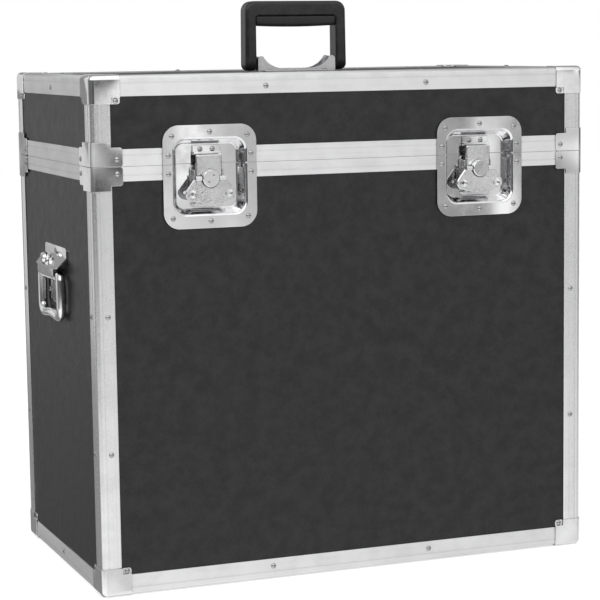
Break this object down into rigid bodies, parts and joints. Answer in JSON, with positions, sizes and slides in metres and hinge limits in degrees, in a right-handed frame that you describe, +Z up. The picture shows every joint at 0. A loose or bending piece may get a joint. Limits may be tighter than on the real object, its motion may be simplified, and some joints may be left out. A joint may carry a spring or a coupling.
{
  "type": "camera case",
  "caption": "Hard camera case with a hinged lid, laminated panels in aluminium edges, recessed twist latches, top handle and strap bails.",
  "frame": {"origin": "under the middle of the case, on the surface that it stands on", "axes": "+X along the case to the right as seen from the latches, +Y towards the hinges, +Z up through the lid"},
  "size_m": [0.6028, 0.334, 0.634],
  "materials": {
    "laminate": "black laminate on plywood, satin",
    "aluminium": "anodised, satin, drawn along its length",
    "plated_steel": "bright plated pressed steel",
    "turned_steel": "bright plated turned steel",
    "pressed_steel": "zinc plated pressed steel",
    "rivet_steel": "blind rivet heads",
    "black_plastic": "moulded, fine texture",
    "grip_rubber": "soft grip",
    "foam": "dark open-cell foam"
  },
  "bodies": {
    "case_base": {"base_front_panel": "laminate", "base_back_panel": "laminate", "base_left_panel": "laminate", "base_right_panel": "laminate", "base_bottom_panel": "laminate", "base_bottom_rails": "aluminium", "base_corner_posts": "aluminium", "base_closure_rails": "aluminium", "base_corner_caps": "plated_steel", "base_braces": "plated_steel", "left_lower_dish": "plated_steel", "right_lower_dish": "plated_steel", "left_latch_bracket": "plated_steel", "right_latch_bracket": "plated_steel", "base_hinge_leaves": "pressed_steel", "hinge_pins": "turned_steel", "left_bail_bracket": "plated_steel", "right_bail_bracket": "plated_steel", "left_bail_plate": "plated_steel", "right_bail_plate": "plated_steel", "base_rivets": "rivet_steel", "base_floor_foam": "foam", "base_wall_foam": "foam"},
    "lid": {"lid_front_panel": "laminate", "lid_back_panel": "laminate", "lid_left_panel": "laminate", "lid_right_panel": "laminate", "lid_top_panel": "laminate", "lid_top_rails": "aluminium", "lid_corner_posts": "aluminium", "lid_closure_rails": "aluminium", "lid_corner_caps": "plated_steel", "lid_braces": "plated_steel", "left_upper_dish": "plated_steel", "right_upper_dish": "plated_steel", "left_keeper": "plated_steel", "right_keeper": "plated_steel", "lid_hinge_leaves": "pressed_steel", "handle_bracket": "pressed_steel", "handle_pins": "turned_steel", "lid_rivets": "rivet_steel", "lid_foam": "foam"},
    "handle": {"handle": "black_plastic", "handle_grip": "grip_rubber"},
    "left_latch_spindle": {"left_spindle": "turned_steel", "left_wing_pin": "turned_steel"},
    "left_latch_wing": {"left_wing": "plated_steel"},
    "left_latch_hook": {"left_hook": "plated_steel"},
    "left_strap_bail": {"left_bail": "plated_steel"},
    "right_latch_spindle": {"right_spindle": "turned_steel", "right_wing_pin": "turned_steel"},
    "right_latch_wing": {"right_wing": "plated_steel"},
    "right_latch_hook": {"right_hook": "plated_steel"},
    "right_strap_bail": {"right_bail": "plated_steel"}
  },
  "joints": [
    {"name": "lid_hinge", "type": "hinge", "parent": "case_base", "child": "lid", "pos_m": [0, 0.163, 0.46], "axis": [-1, 0, 0], "range_deg": [0, 95]},
    {"name": "handle_fold", "type": "hinge", "parent": "lid", "child": "handle", "pos_m": [0, -0.0018, 0.565], "axis": [1, 0, 0], "range_deg": [-90, 90]},
    {"name": "left_latch_twist", "type": "hinge", "parent": "case_base", "child": "left_latch_spindle", "pos_m": [-0.159, -0.163, 0.4444], "axis": [0, 1, 0], "range_deg": [0, 180]},
    {"name": "left_wing_fold", "type": "hinge", "parent": "left_latch_spindle", "child": "left_latch_wing", "pos_m": [-0.159, -0.163, 0.4444], "axis": [-1, 0, 0], "range_deg": [0, 90]},
    {"name": "left_hook_rise", "type": "slide", "parent": "case_base", "child": "left_latch_hook", "axis": [0, 0, 1], "range_m": [0, 0.008]},
    {"name": "left_bail_swing", "type": "hinge", "parent": "case_base", "child": "left_strap_bail", "pos_m": [-0.2945, -0.0018, 0.335], "axis": [0, 1, 0], "range_deg": [0, 95]},
    {"name": "right_latch_twist", "type": "hinge", "parent": "case_base", "child": "right_latch_spindle", "pos_m": [0.159, -0.163, 0.4444], "axis": [0, 1, 0], "range_deg": [0, 180]},
    {"name": "right_wing_fold", "type": "hinge", "parent": "right_latch_spindle", "child": "right_latch_wing", "pos_m": [0.159, -0.163, 0.4444], "axis": [-1, 0, 0], "range_deg": [0, 90]},
    {"name": "right_hook_rise", "type": "slide", "parent": "case_base", "child": "right_latch_hook", "axis": [0, 0, 1], "range_m": [0, 0.008]},
    {"name": "right_bail_swing", "type": "hinge", "parent": "case_base", "child": "right_strap_bail", "pos_m": [0.2945, -0.0018, 0.335], "axis": [0, -1, 0], "range_deg": [0, 95]}
  ],
  "couplings": [
    {"joint": "left_hook_rise", "follows": "left_latch_twist", "m_per_rad": 0.0025464},
    {"joint": "right_hook_rise", "follows": "right_latch_twist", "m_per_rad": 0.0025464}
  ]
}
